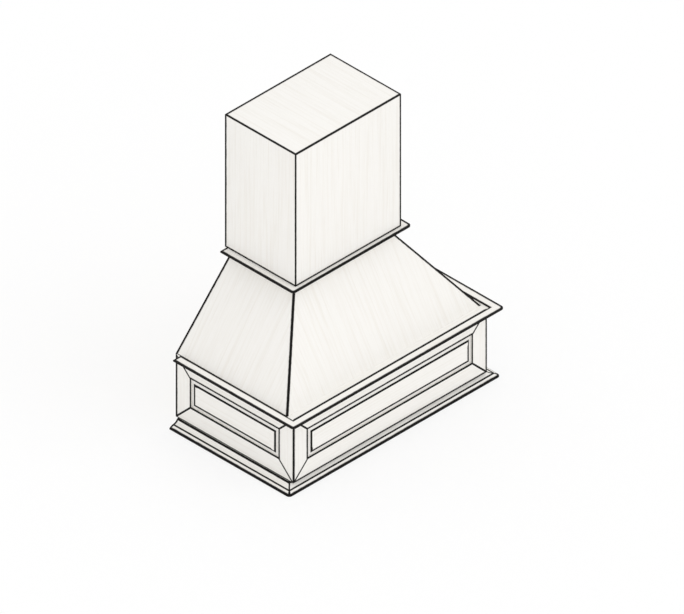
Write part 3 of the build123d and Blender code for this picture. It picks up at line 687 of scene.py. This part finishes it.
class HOOD_OT_taper(bpy.types.Operator):
    """The taper: a front slope and two side slopes, mitred together at the hips"""
    bl_idname = "hood.taper"
    bl_label = "Taper"

    def execute(self, context):
        lean_side, lean_front, _ = (taper(DECK_TOP) - taper(COLLAR_TOP)) / (COLLAR_TOP - DECK_TOP)
        wall = context.scene.hood_sizes.board_wall
        side_run, front_run = wall * math.hypot(1, lean_side), wall * math.hypot(1, lean_front)
        levels = [(z, taper(z)) for z in (DECK_TOP, COLLAR_BOTTOM)]

        def front_corners(inset):
            return [[(side * (half - inset * side_run), front + inset * front_run, z)
                     for side in (-1, 1)] for z, (half, front, _) in levels]

        def side_corners(side, inset):
            return [[(side * (half - inset * side_run), y, z)
                     for y in (front + inset * front_run, back)]
                    for z, (half, front, back) in levels]

        up_front = np.array((0, -lean_front, 1)) / math.hypot(1, lean_front)
        make_board("slope_front", 31, front_corners(0), front_corners(1), (1, 1, 0, 0),
                   (WIDE, HEAVY, NONE, NONE), up_front)
        for number, (name, side) in enumerate(HANDS.items(), 32):
            up_side = np.array((-side * lean_side, 0, 1)) / math.hypot(1, lean_side)
            make_board(f"slope_{name}", number, side_corners(side, 0), side_corners(side, 1),
                       (1, 0, 0, 0), (WIDE, FULL, SLIGHT, NONE), up_side)
        return {"FINISHED"}


class HOOD_OT_chimney(bpy.types.Operator):
    """The box chimney: front, two sides and a top, mitred at every edge they share"""
    bl_idname = "hood.chimney"
    bl_label = "Box chimney"

    def execute(self, context):
        wall = context.scene.hood_sizes.board_wall
        x, front, back, top = CHIMNEY_SIDE, CHIMNEY_FRONT, CHIMNEY_BACK, CHIMNEY_TOP
        in_x, in_front, in_top = x - wall, front + wall, top - wall
        levels, in_levels = (COLLAR_TOP, top), (COLLAR_TOP, in_top)
        make_board("chimney_front", 41,
                   [[(-x, front, z), (x, front, z)] for z in levels],
                   [[(-in_x, in_front, z), (in_x, in_front, z)] for z in in_levels],
                   (1, 1, 0, 1), (PLAIN, HEAVY, HEAVY, PLAIN), UP)
        for number, (name, side) in enumerate(HANDS.items(), 42):
            make_board(f"chimney_{name}", number,
                       [[(side * x, y, z) for y in (front, back)] for z in levels],
                       [[(side * in_x, y, z) for y in (in_front, back)] for z in in_levels],
                       (1, 0, 0, 1), (FINE, FULL, HEAVY, FINE), UP)
        make_board("chimney_top", 44,
                   [[(-x, y, top), (x, y, top)] for y in (front, back)],
                   [[(-in_x, y, in_top), (in_x, y, in_top)] for y in (in_front, back)],
                   (1, 1, 1, 0), (WIDE, HEAVY, WIDE, FULL), TO_WALL)
        return {"FINISHED"}


# ---- mitred mouldings
def arc(start, end, bow):
    """Points of a circular arc from start to end, without the end; bow is its sagitta, positive
    to the left of the way from start to end. Radius = (half chord^2 + bow^2) / (2 bow)."""
    a, b = np.array(start, float), np.array(end, float)
    half = np.linalg.norm(b - a) / 2
    along = (b - a) / (2 * half)
    left = np.array((-along[1], along[0]))
    radius = (half * half + bow * bow) / (2 * abs(bow))
    reach = math.asin(half / radius)
    angle = np.linspace(-reach, reach, ARC_STEPS)[:-1, None]
    rise = radius * (np.cos(angle) - math.cos(reach)) * math.copysign(1, bow)
    return (a + b) / 2 + radius * np.sin(angle) * along + rise * left


def glazed_profile(points, widths):
    """A moulding's points, in mm inwards from its outer edge and up, with the glaze widths of its
    corners, by their number; one that isn't named has none."""
    glazed = np.zeros((len(points), 2))
    for corner, width in widths.items():
        glazed[corner] = width
    return points * MM, glazed


def base_profile():
    """Foot moulding: square edge, round nose, then a cove up to a flat beside the apron."""
    points = np.concatenate([[(57, 24), (57, 0), (0, 0)], arc((0, 4), (15, 12), 1.2),
                             arc((15, 12), (33.5, 24), -3), [(33.5, 24)]])
    return glazed_profile(points, {2: HEAVY, 3: HEAVY, 2 + ARC_STEPS: FINE, -1: PLAIN})


def upper_profile():
    """Moulding round the apron's top: bevelled lip, square edge, soffit and cove."""
    points = np.concatenate([[(38, -27.5), (38, 0), (32.3, 6.5), (0, 6.5), (0, 1.5), (4, 1.5)],
                             arc((4, -1.5), (29, -21), 6), [(29, -21), (29, -24.5), (34, -27.5)]])
    return glazed_profile(points, {2: (FINE, PLAIN), 3: FULL, 4: FULL, 5: FINE, 6: FINE, -3: FINE,
                                   -2: FINE})


def neck_profile():
    """Moulding under the chimney: square edge, soffit and cove, its back planed to the taper and
    rebated over the collar."""
    outer = high("neck_trim_right")[0]
    rebate, drop = np.array((COLLAR_BOTTOM, low("neck_trim_right")[2])) - COLLAR_TOP
    rebate_back, drop_back = (outer - taper(COLLAR_TOP + z)[0] for z in (rebate, drop))
    points = np.concatenate([
        [(drop_back / MM, drop / MM), (rebate_back / MM, rebate / MM), (28, rebate / MM), (28, 0),
         (0, 0), (0, -5), (4, -5)], arc((4, -8), (33.5, -33), 6), [(33.5, -33), (33.5, drop / MM)]])
    return glazed_profile(points, {4: FULL, 5: FULL, 6: FINE, 7: FINE, -2: FINE})


def moulding(profile, level, half_width, front, end, run, mitre_glaze):
    """One run of a moulding: its profile (u inwards, v up) carried round the plan.

    With c = max(r, u) and p = max(r - u, 0), a point of the profile goes round the corner at
    (c - p sin f, c - p cos f) as f falls from 45 degrees to 0, and then straight on at depth u.
    Where p is 0 there is nothing to go round, and its stations share the next r / 2 of the run.
    """
    sizes = bpy.context.scene.hood_sizes
    points, glazed = profile
    loop, rim = eased_profile(points, sizes.fine_arris * glazed.any(1), glazed)
    u, v = loop.T
    r = sizes.corner_round
    c, p = np.maximum(r, u), np.where(r - u > SLIVER, r - u, 0)
    f = np.linspace(math.pi / 4, 0, TURN_STEPS)[:, None]
    shared = np.where(p > 0, 0, r / 2 * (1 - f / (math.pi / 4)))
    turn_along, turn_in = c - p * np.sin(f) + shared, c - p * np.cos(f)
    if run == "front":
        total = 2 * half_width
        along = np.concatenate([turn_along, [c + RIM, total - c - RIM], total - turn_along[::-1]])
        inward = np.concatenate([turn_in, [u, u], turn_in[::-1]])
        origin, way, into = np.array((-half_width, front, level)), RIGHT, TO_WALL
    else:
        side, total = HANDS[run], end - front
        along = np.concatenate([turn_along, [c + RIM, u * 0 + total - RIM, u * 0 + total]])
        inward = np.concatenate([turn_in, [u, u, u]])
        origin, way, into = np.array((side * half_width, front, level)), TO_WALL, -side * RIGHT
    to_start, to_end = along - along[0], along[-1] - along
    mitre = MITRE_LINE if mitre_glaze else RIM
    rim_along = np.minimum(RIM, to_start / math.sqrt(2) + mitre)
    closing = to_end / math.sqrt(2) + mitre if run == "front" else to_end / HEAVY
    rings = origin + along[..., None] * way + inward[..., None] * into + v[:, None] * UP
    rim_along = np.minimum(rim_along, closing)
    return CarriedProfile(rings, rim, rim_along, way, OUTSIDE, (OUTSIDE, OUTSIDE))


class HOOD_OT_mouldings(bpy.types.Operator):
    """Foot, upper and neck mouldings, each in three mitred runs with rounded plan corners"""
    bl_idname = "hood.mouldings"
    bl_label = "Mouldings"

    def execute(self, context):
        kinds = {"base_trim": (base_profile(), 0.0, True),
                 "upper_trim": (upper_profile(), DECK_TOP, False),
                 "neck_trim": (neck_profile(), COLLAR_TOP, False)}
        number = 50
        for name, (profile, level, mitre_glaze) in kinds.items():
            half_width, front = high(f"{name}_right")[0], low(f"{name}_front")[1]
            end = high(f"{name}_left")[1]
            for run in ("front", "left", "right"):
                number += 1
                surface = moulding(profile, level, half_width, front, end, run, mitre_glaze)
                make_piece(f"{name}_{run}", [surface], [pickled_maple()],
                           number)
        return {"FINISHED"}


# ---- screws
def wood_screw(place, out):
    """Countersunk screw: a profile of radius against depth turned round its axis.

    The head's flat top is lowered by a cross recess: cross_depth * exp(-(m / arm_half)^4) where m
    is the smaller of |x| and |y|, fading out cross_reach from the axis. All numbers are in mm.
    """
    spokes, sunk, flat_top = 40, 0.6, 0.05
    arm_half, cross_reach, cross_fade, cross_depth = 0.45, 2.3, 0.08, 1.5
    radius, depth = np.array([
        (0.2, 0), (0.6, 0), (1, 0), (1.4, 0), (1.8, 0), (2.2, 0), (2.4, 0), (3, 0), (3.6, 0.02),
        (3.9, 0.08), (4, 0.2), (3.9, 0.35), (2, 2.4), (2, 32), (1.2, 33.5), (0.15, 35)]).T
    angle = np.linspace(0, 2 * math.pi, spokes, endpoint=False)
    x, y = radius[:, None] * np.cos(angle), radius[:, None] * np.sin(angle)
    arm = np.exp(-(np.minimum(np.abs(x), np.abs(y)) / arm_half) ** 4)
    head = (depth < flat_top) / (1 + np.exp((radius - cross_reach) / cross_fade))
    z = -depth[:, None] - sunk - cross_depth * arm * head[:, None]
    side = np.cross(out, UP) if abs(out @ UP) < UPRIGHT else RIGHT
    other = np.cross(out, side)
    rings = place + MM * (x[..., None] * side + y[..., None] * other + z[..., None] * out)
    return CarriedProfile(rings, RIM, np.full(len(radius), RIM), out, OUTSIDE, (OUTSIDE, OUTSIDE))


class HOOD_OT_screws(bpy.types.Operator):
    """Twelve countersunk screws through the back rails, the collar and the chimney's cleats"""
    bl_idname = "hood.screws"
    bl_label = "Wood screws"

    def execute(self, context):
        spread_narrow, spread_wide, cleat_wall, cleat_high = 90 * MM, 120 * MM, 11 * MM, 22 * MM
        post_x = (high("back_post_right")[0] + low("back_post_right")[0]) / 2
        into_rails = (("mounting_rail", post_x), ("bottom_back_rail", post_x),
                      ("hanging_rail", spread_narrow), ("spacer_rail", spread_narrow))
        rail_y = (low("neck_back_rail")[1] + high("neck_back_rail")[1]) / 2
        cleat_x = high("chimney_base_cleats")[0] - cleat_wall
        cleat_y = (CHIMNEY_FRONT + CHIMNEY_BACK) / 2
        surfaces = []
        for side in (-1, 1):
            for rail, x in into_rails:
                place = (side * x, WALL, (low(rail)[2] + high(rail)[2]) / 2)
                surfaces.append(wood_screw(np.array(place), TO_WALL))
            for place in ((side * spread_wide, rail_y, COLLAR_TOP),
                          (side * cleat_x, cleat_y, COLLAR_TOP + cleat_high)):
                surfaces.append(wood_screw(np.array(place), UP))
        make_piece("wood_screws", surfaces, [zinc_plate()], stuff="zinc")
        return {"FINISHED"}


# ---- pieces kept from the CAD
class HOOD_OT_timbers(bpy.types.Operator):
    """Raw finishes of the inner timbers, deck, collar, keys and splines"""
    bl_idname = "hood.timbers"
    bl_label = "Inner timbers"

    def execute(self, context):
        foot, neck = taper(DECK_TOP), taper(COLLAR_TOP)
        # the deck shows as a white ledge in front of the taper, and the collar beside the neck;
        # the white begins a little way inside
        ledge, rebate = -foot[1] - 6 * MM, CHIMNEY_SIDE - 4 * MM
        special = {"mitre_keys": planed_beech(), "corner_splines": planed_beech(),
                   "deck": birch_plywood("deck", grain=RIGHT, pickled=(1, -1, ledge)),
                   "collar": birch_plywood("collar", grain=RIGHT, pickled=(0, 0, rebate))}
        for name, side in HANDS.items():
            hip = np.array((side * (foot - neck)[0], (foot - neck)[1], DECK_TOP - COLLAR_TOP))
            special[f"hip_block_{name}"] = sawn_poplar(f"hip_{name}", hip)
        for name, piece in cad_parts.items():
            if piece.hide_render:
                continue
            axis = int(np.argmax(high(name) - low(name)))
            timber = special.get(name) or sawn_poplar("xyz"[axis], np.eye(3)[axis])
            piece.data.materials.clear()
            piece.data.materials.append(timber)
        return {"FINISHED"}


# ---- stage
class HOOD_OT_stage(bpy.types.Operator):
    """Parallel camera, pale floor, even studio light and one soft key"""
    bl_idname = "hood.stage"
    bl_label = "Stage"

    def execute(self, context):
        scene, stage = context.scene, context.scene.hood_stage
        turn, rise = stage.azimuth, stage.elevation
        back = np.array((math.sin(turn) * math.cos(rise), -math.cos(turn) * math.cos(rise),
                         math.sin(rise)))
        across = np.array((math.cos(turn), math.sin(turn), 0))
        above = np.cross(back, across)
        pixel = stage.view_width / IMAGE_WIDTH
        centre = (np.array((-SIDE, APRON_FRONT, APRON_BOTTOM))
                  + across * (IMAGE_WIDTH / 2 - CORNER_PIXEL[0]) * pixel
                  + above * (CORNER_PIXEL[1] - IMAGE_HEIGHT / 2) * pixel)
        data = bpy.data.cameras.new("camera")
        data.type, data.ortho_scale, data.sensor_fit = "ORTHO", stage.view_width, "HORIZONTAL"
        data.clip_end = 10 * stage.distance
        scene.camera = add_object("camera", data)
        scene.camera.location = centre + back * stage.distance
        scene.camera.rotation_euler = (math.pi / 2 - rise, 0, turn)

        scene.world = scene.world or bpy.data.worlds.new("studio")
        scene.world.use_nodes = True
        scene.world.node_tree.nodes.clear()
        put = partial(add_node, scene.world.node_tree)
        even = put("Background", {"Color": (1, 1, 1, 1), "Strength": stage.even})
        plain = put("Background", {"Color": (*stage.backdrop, 1), "Strength": 1})
        sky = put("MixShader", {0: self.seen(put), 1: even, 2: plain})
        put("OutputWorld", {"Surface": sky})

        def describe_floor(put):
            """Matt painted floor: seen mostly as the backdrop's colour, it keeps a soft shadow."""
            matt = put("BsdfDiffuse", {"Color": (*stage.floor, 1)})
            glow = put("Emission", {"Color": (*stage.backdrop, 1), "Strength": 1})
            part = put("Math", {0: self.seen(put), 1: stage.floor_glow}, operation="MULTIPLY")
            return put("MixShader", {0: part, 1: matt, 2: glow})

        mesh = bpy.data.meshes.new("studio_floor")
        corners = np.array([(-1, -1, 0), (1, -1, 0), (1, 1, 0), (-1, 1, 0)]) * stage.floor_reach
        mesh.from_pydata(corners, [], [(0, 1, 2, 3)])
        mesh.materials.append(finish("matt_studio_floor", describe_floor))
        floor = add_object("studio_floor", mesh)

        sun = bpy.data.lights.new("soft_key", "SUN")
        sun.energy, sun.angle = stage.key, stage.key_spread
        lamp = add_object("soft_key", sun)
        lamp.rotation_euler = Vector(stage.key_from).to_track_quat("Z", "Y").to_euler()
        scene.view_settings.view_transform = "Standard"
        return {"FINISHED"}

    @staticmethod
    def seen(put):
        """1 for rays that show the backdrop: the camera's, and those in gloss and glass."""
        rays = put("LightPath").outputs
        mirrored = put("Math", {0: rays["Is Glossy Ray"], 1: rays["Is Transmission Ray"]},
                       operation="MAXIMUM")
        return put("Math", {0: rays["Is Camera Ray"], 1: mirrored}, operation="MAXIMUM")


# ---- sidebar and registration
OPERATORS = (HOOD_OT_stage, HOOD_OT_frames, HOOD_OT_panels, HOOD_OT_taper, HOOD_OT_chimney,
             HOOD_OT_mouldings, HOOD_OT_screws, HOOD_OT_timbers)
SETTINGS = {"hood_sizes": HoodSizes, "hood_colours": HoodColours, "hood_stage": HoodStage}


class HOOD_PT_sidebar(bpy.types.Panel):
    """Every step of the hood cover, with its sizes and colours"""
    bl_idname = "HOOD_PT_sidebar"
    bl_label = "Hood cover"
    bl_space_type = "VIEW_3D"
    bl_region_type = "UI"
    bl_category = "Hood cover"

    def draw(self, context):
        for operator in OPERATORS:
            self.layout.operator(operator.bl_idname)
        for name, group in SETTINGS.items():
            column = self.layout.column()
            for key in group.__annotations__:
                column.prop(getattr(context.scene, name), key)


CLASSES = (*SETTINGS.values(), *OPERATORS, HOOD_PT_sidebar)


def register():
    for cls in CLASSES:
        bpy.utils.register_class(cls)
    for name, group in SETTINGS.items():
        setattr(bpy.types.Scene, name, bpy.props.PointerProperty(type=group))


def unregister():
    for name in SETTINGS:
        delattr(bpy.types.Scene, name)
    for cls in reversed(CLASSES):
        bpy.utils.unregister_class(cls)


def main():
    """Set the stage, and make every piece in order."""
    register()
    bpy.ops.hood.stage()
    bpy.ops.hood.frames()
    bpy.ops.hood.panels()
    bpy.ops.hood.taper()
    bpy.ops.hood.chimney()
    bpy.ops.hood.mouldings()
    bpy.ops.hood.screws()
    bpy.ops.hood.timbers()


if __name__ == "__main__":
    main()
